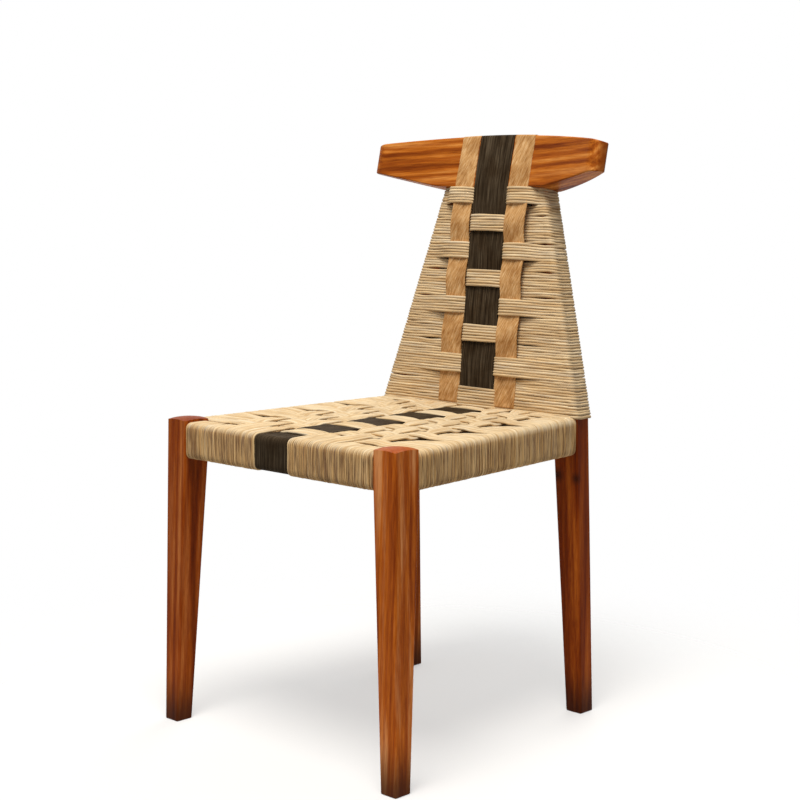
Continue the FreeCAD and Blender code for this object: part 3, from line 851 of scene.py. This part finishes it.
# Slits between the cords, each by its middle across and up the back, and half its length.
cord_slits = [(100, 294, 14), (113, 250.5, 17), (121, 210, 19), (118, 170.5, 24), (101, 98, 20),
              (-145, 124.5, 16), (-101, 96, 20), (-130, 165, 17), (-163, 33, 19), (-105, 208.5, 24)]
slit_opening = 1.8
slit_reach = 7.0

# How cords stray: down towards the rear, in waves, and pulled down beside the strips under a tan band.
rear_fan = 0.104
wave_height = 1.1
wave_length = 32.0
wave_depth = 40.0
front_from = -5.0
pull_share = 0.10
pull_width = 17.0
back_stray = 0.2


def post_half(z):
    """Half width over both posts at a height."""
    share = (z - posts_low_z) / (posts_top_z - posts_low_z)
    return (posts_low_width + (posts_top_width - posts_low_width) * share) / 2


def over_strip(x, up):
    """Out of a cord that passes in front of a strip."""
    return (strip_front(x, up) - back_origin).dot(back_out) + strip_thickness / 2 + back_cord / 2


def behind_strip(x, up):
    """Out of a cord that passes behind the back face of a strip, at the rear of the chair."""
    return (strip_back(x, up) - back_origin).dot(back_out) - strip_thickness / 2 - back_cord / 2


def half_run(kind, half, low, deep, up, over):
    """Places (x, out) of a cord from the middle of the chair to the post's corner."""
    if kind == "tan":
        peak = over((tan_inner + tan_outer) / 2, up)
        fall = tan_outer + fall_share * (half - tan_outer)
        places = [(middle_flat, deep), (black_half - tuck_ease, deep), (tan_inner + peak_ease, peak),
                  (tan_outer, peak), (fall, low)]
    elif kind == "black":
        peak = over(black_half, up)
        places = [(middle_flat, peak), (black_half - peak_ease, peak), (tan_inner + tuck_ease, deep),
                  (tan_inner + tuck_run, deep), (tan_outer, deep)]
    else:
        places = [(middle_flat, deep), (black_half, deep), (tan_outer, deep)]
    start = places[-1][0]
    steps = max(1, round((half - start) / run_step))
    return places + [(start + (half - start) * step / steps, low) for step in range(1, steps)]


def back_loop(kind, up):
    """Control points (x, out) of one cord wound round both posts."""
    half = post_half(on_back(0, up).y) + back_low
    rear_low = post_back_out - back_low
    front = half_run(kind, half, back_low, back_low - front_tuck, up, over_strip)
    rear = half_run(kind, half, rear_low, rear_low + rear_tuck, up, behind_strip)
    corners = [(Vector((-x, out)), 0) for x, out in reversed(front)]
    corners += [(Vector(place), 0) for place in front]
    corners += [(Vector((half, back_low)), post_bend), (Vector((half, rear_low)), post_bend)]
    corners += [(Vector(place), 0) for place in reversed(rear)]
    corners += [(Vector((-x, out)), 0) for x, out in rear]
    corners += [(Vector((-half, rear_low)), post_bend), (Vector((-half, back_low)), post_bend)]
    return rounded(corners)


def parted(x, up):
    """How far a cord gives way where its neighbours part and leave a slit."""
    shift = 0.0
    for slit_x, slit_up, half_length in cord_slits:
        opening = slit_opening * math.exp(-((x - slit_x) / half_length) ** 2)
        shift += math.copysign(opening * math.exp(-abs(up - slit_up) / slit_reach), up - slit_up)
    return shift


def band_cords(kind, lower, upper):
    """Cords of one band, which wander a little; those under a tan band are pulled down beside the strip."""
    loops = []
    count = round((upper - lower) / back_pitch)
    under_tan = any(upper == band[0] for band in tan_bands)
    for cord in range(count):
        level = lower + (cord + 0.5) * (upper - lower) / count
        fan = level / back_top * rear_fan
        path = chance.uniform(0, 100)
        loop = []
        for x, out in back_loop(kind, level):
            wave = noise.noise(Vector((x / wave_length, path, out / wave_depth)))
            up = level + out * fan + wave_height * wave
            if out < post_back_out / 2:
                up += back_pitch / 2
            elif out > front_from:
                up += parted(x, level)
                if under_tan:
                    beside_tan = math.exp(-((abs(x) - tan_outer) / pull_width) ** 2)
                    up -= pull_share * beside_tan * (level - lower)
            out += chance.uniform(-back_stray, back_stray)
            up += chance.uniform(-back_stray, back_stray)
            loop.append(chair_point(x, *on_back(out, up)))
        loops.append(loop)
    return loops


back_straw = straw_cord("straw cord round the back", (run_stretch, run_stretch, 1), back_wear_and_painted_light)
every_band = sorted(tan_bands + black_bands)
gaps = [(below[1], above[0]) for below, above in zip(every_band, every_band[1:])]
for kind, name, bands in (("tan", "back_cords_over_tan", tan_bands),
                          ("black", "back_cords_over_black", black_bands),
                          ("behind", "back_cords_behind_strips", gaps)):
    loops = []
    for lower, upper in bands:
        loops += band_cords(kind, lower, upper)
    piece = wound_cords(name + "_wound", loops, back_cord)
    piece.data.materials.append(back_straw)
    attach(piece, "root")
    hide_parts(name)


# Studio: a square of pale floor that fades out towards its edges, a white surround, a large soft light
# high above the front, a weak one above the rear, and even light from all round. Sizes are in metres.

floor_half = 1.2
fade_from = 0.3
fade_to = 1.0
fade_least = 0.45
surround_light = 0.30
light_size = 1.6
light_aim = Vector((0, 0, 0.45))
studio_white = linear("FFFFFF")

# Matt white paint, which gives the eye the chair's soft shadow and nothing else.
floor_material, tree = new_material("pale studio floor")
floor_surface = tree.nodes["Principled BSDF"]
set_inputs(tree, floor_surface, {"Base Color": studio_white, "Roughness": 0.9})
place = add_node(tree, "ShaderNodeTexCoord", {}).outputs["Object"]
distance = add_node(tree, "ShaderNodeVectorMath", {0: place}, operation="LENGTH").outputs["Value"]
fade = add_node(tree, "ShaderNodeMapRange",
                {"Value": distance, "From Min": fade_from, "From Max": fade_to,
                 "To Min": fade_least, "To Max": 1.0}, interpolation_type="SMOOTHSTEP").outputs["Result"]
clear = add_node(tree, "ShaderNodeBsdfTransparent", {}).outputs["BSDF"]
fading = add_node(tree, "ShaderNodeMixShader", {0: fade, 1: floor_surface.outputs["BSDF"], 2: clear})
set_inputs(tree, tree.nodes["Material Output"], {"Surface": fading.outputs["Shader"]})
floor_mesh = bmesh.new()
bmesh.ops.create_grid(floor_mesh, x_segments=1, y_segments=1, size=floor_half)
floor_data = bpy.data.meshes.new("floor")
floor_mesh.to_mesh(floor_data)
floor_mesh.free()
floor = bpy.data.objects.new("floor", floor_data)
floor.data.materials.append(floor_material)
bpy.context.scene.collection.objects.link(floor)

# The surround lights the chair weakly, and is white where the camera or a reflection sees it.
world = bpy.data.worlds.new("white studio")
world.use_nodes = True
bpy.context.scene.world = world
tree = world.node_tree
rays = add_node(tree, "ShaderNodeLightPath", {}).outputs
mirrored = add_node(tree, "ShaderNodeMath", {0: rays["Is Glossy Ray"], 1: rays["Is Transmission Ray"]},
                    operation="MAXIMUM").outputs[0]
seen = add_node(tree, "ShaderNodeMath", {0: rays["Is Camera Ray"], 1: mirrored},
                operation="MAXIMUM").outputs[0]
lit = tree.nodes["Background"]
set_inputs(tree, lit, {"Color": studio_white, "Strength": surround_light})
white = add_node(tree, "ShaderNodeBackground", {"Color": studio_white, "Strength": 1.0})
surround = add_node(tree, "ShaderNodeMixShader",
                    {0: seen, 1: lit.outputs["Background"], 2: white.outputs["Background"]})
set_inputs(tree, tree.nodes["World Output"], {"Surface": surround.outputs["Shader"]})

for light_name, watts, light_place in (("soft light above the front", 97, (0.55, -1.05, 3.25)),
                                       ("weak light above the rear", 20, (-0.7, 1.7, 2.4))):
    light_data = bpy.data.lights.new(light_name, "AREA")
    light_data.shape = "DISK"
    light_data.size = light_size
    light_data.energy = watts
    light_data.color = linear("FFFAF2")[:3]
    light = bpy.data.objects.new(light_name, light_data)
    light.location = light_place
    light.rotation_euler = (light_aim - light.location).to_track_quat("-Z", "Y").to_euler()
    bpy.context.scene.collection.objects.link(light)


# Camera: the photograph's view, from the front right, a little above the seat. Its place is in metres and
# its lens in millimetres.

camera_data = bpy.data.cameras.new("camera")
camera_data.sensor_width = 36.0
camera_data.lens = 74.63
camera = bpy.data.objects.new("camera", camera_data)
camera.location = (1.7133, -1.76384, 0.7923)
camera.rotation_euler = (math.radians(82.856), 0.0, math.radians(44.269))
bpy.context.scene.collection.objects.link(camera)
bpy.context.scene.camera = camera
bpy.context.scene.view_settings.view_transform = "Standard"
